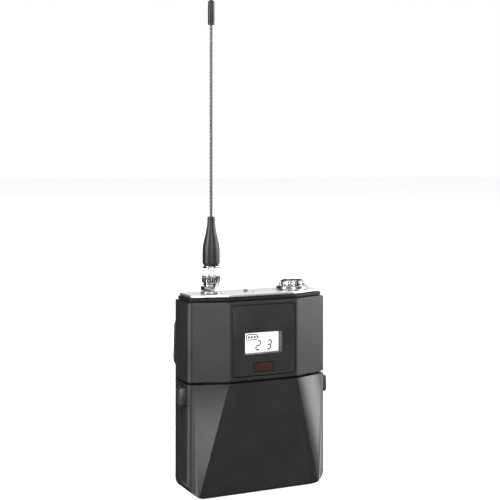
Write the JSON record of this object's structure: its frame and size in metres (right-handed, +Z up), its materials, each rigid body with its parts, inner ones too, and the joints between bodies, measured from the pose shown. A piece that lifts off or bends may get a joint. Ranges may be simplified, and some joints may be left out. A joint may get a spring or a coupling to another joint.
{
  "type": "wireless bodypack transmitter",
  "caption": "Wireless microphone bodypack: faceted charcoal case with silver top plate, whip antenna, display, latched battery door and wire belt clip.",
  "frame": {"origin": "middle of the base of the object's box, where the case stands on its flat underside", "axes": "+Z up along the antenna, +X to the right seen from the display, the display faces -Y"},
  "size_m": [0.0712, 0.0276, 0.213],
  "materials": {
    "case_plastic": "satin charcoal ABS with a fine moulded texture",
    "tray_plastic": "matt black moulded plastic",
    "tab_plastic": "matt black plastic",
    "black_rubber": "matt black rubber",
    "gloss_panel": "smooth dark grey gloss",
    "satin_silver": "satin silver plate",
    "polished_steel": "bright nickel plating",
    "contact_nickel": "nickel plating",
    "screw_steel": "blackened steel",
    "spring_steel": "plain spring steel wire",
    "clip_wire": "black coated spring wire",
    "gold_brass": "gold-plated brass",
    "switch_grey": "mid grey plastic",
    "frame_grey": "pale grey plastic",
    "key_rubber": "grey rubber key",
    "lcd_face": "pale lit liquid crystal display",
    "ir_red": "dark red infrared filter",
    "board_green": "green solder mask",
    "chip_black": "black moulded package",
    "cell_wrap": "plain dark battery sleeve",
    "led_lens": "clear green lens"
  },
  "bodies": {
    "case": {"rear_shell": "case_plastic", "front_cover": "case_plastic", "door_hinge_pin": "polished_steel", "top_rim": "black_rubber", "top_plate": "satin_silver", "power_switch_body": "black_rubber", "power_led": "led_lens", "sma_jack": "polished_steel", "sma_washer": "polished_steel", "sma_nut": "polished_steel", "input_socket": "polished_steel", "input_insert": "black_rubber", "input_nut": "polished_steel", "input_pin_1": "gold_brass", "input_pin_2": "gold_brass", "input_pin_3": "gold_brass", "input_pin_4": "gold_brass", "display_panel": "gloss_panel", "ir_window": "ir_red", "lcd_frame": "frame_grey", "lcd_module": "lcd_face", "ir_diode": "ir_red", "main_board": "board_green", "rf_shield": "satin_silver", "audio_chip": "chip_black", "display_connector": "frame_grey", "battery_tray": "tray_plastic", "aa_cell_lower": "cell_wrap", "aa_cell_upper": "cell_wrap", "contact_plate_lower": "contact_nickel", "contact_plate_upper": "contact_nickel", "contact_spring_lower": "contact_nickel", "contact_spring_upper": "contact_nickel", "contact_positive_lower": "contact_nickel", "contact_positive_upper": "contact_nickel", "key_panel": "tray_plastic", "menu_switch": "chip_black", "enter_switch": "chip_black", "key_board": "board_green", "clip_bracket_left": "tray_plastic", "clip_bracket_right": "tray_plastic", "bracket_screw_left": "screw_steel", "bracket_screw_right": "screw_steel", "case_screw_lower_left": "screw_steel", "case_screw_lower_right": "screw_steel", "case_screw_upper_left": "screw_steel", "case_screw_upper_right": "screw_steel"},
    "antenna": {"coupling_nut": "polished_steel", "antenna_boot": "black_rubber", "antenna_whip": "black_rubber", "antenna_tip": "black_rubber"},
    "battery_door": {"battery_door": "case_plastic", "latch_spring_left": "spring_steel", "latch_spring_right": "spring_steel"},
    "latch_left": {"latch_tab_left": "tab_plastic"},
    "latch_right": {"latch_tab_right": "tab_plastic"},
    "power_switch": {"power_switch_knob": "switch_grey"},
    "menu_key": {"menu_button": "key_rubber"},
    "enter_key": {"enter_button": "key_rubber"},
    "belt_clip": {"belt_clip": "clip_wire"}
  },
  "joints": [
    {"name": "door_hinge", "type": "hinge", "parent": "case", "child": "battery_door", "pos_m": [0, 0.0018, 0.0022], "axis": [1, 0, 0], "range_deg": [0, 95]},
    {"name": "latch_left_press", "type": "slide", "parent": "battery_door", "child": "latch_left", "axis": [1, 0, 0], "range_m": [0, 0.0013], "stiffness_N_per_m": 900, "springref_m": -0.0008, "deforming": ["latch_spring_left"]},
    {"name": "latch_right_press", "type": "slide", "parent": "battery_door", "child": "latch_right", "axis": [-1, 0, 0], "range_m": [0, 0.0013], "stiffness_N_per_m": 900, "springref_m": -0.0008, "deforming": ["latch_spring_right"]},
    {"name": "antenna_turn", "type": "hinge", "parent": "case", "child": "antenna", "pos_m": [-0.0197, -0.0018, 0.09], "axis": [0, 0, 1], "continuous": true},
    {"name": "power_slide", "type": "slide", "parent": "case", "child": "power_switch", "axis": [1, 0, 0], "range_m": [0, 0.003]},
    {"name": "menu_press", "type": "slide", "parent": "case", "child": "menu_key", "axis": [0, 1, 0], "range_m": [0, 0.0004], "stiffness_N_per_m": 1500, "springref_m": -0.0003},
    {"name": "enter_press", "type": "slide", "parent": "case", "child": "enter_key", "axis": [0, 1, 0], "range_m": [0, 0.0004], "stiffness_N_per_m": 1500, "springref_m": -0.0003},
    {"name": "clip_flex", "type": "hinge", "parent": "case", "child": "belt_clip", "pos_m": [0, 0.0115, 0.0735], "axis": [1, 0, 0], "range_deg": [0, 14], "stiffness_Nm_per_rad": 1.2, "springref_deg": -2.86}
  ]
}
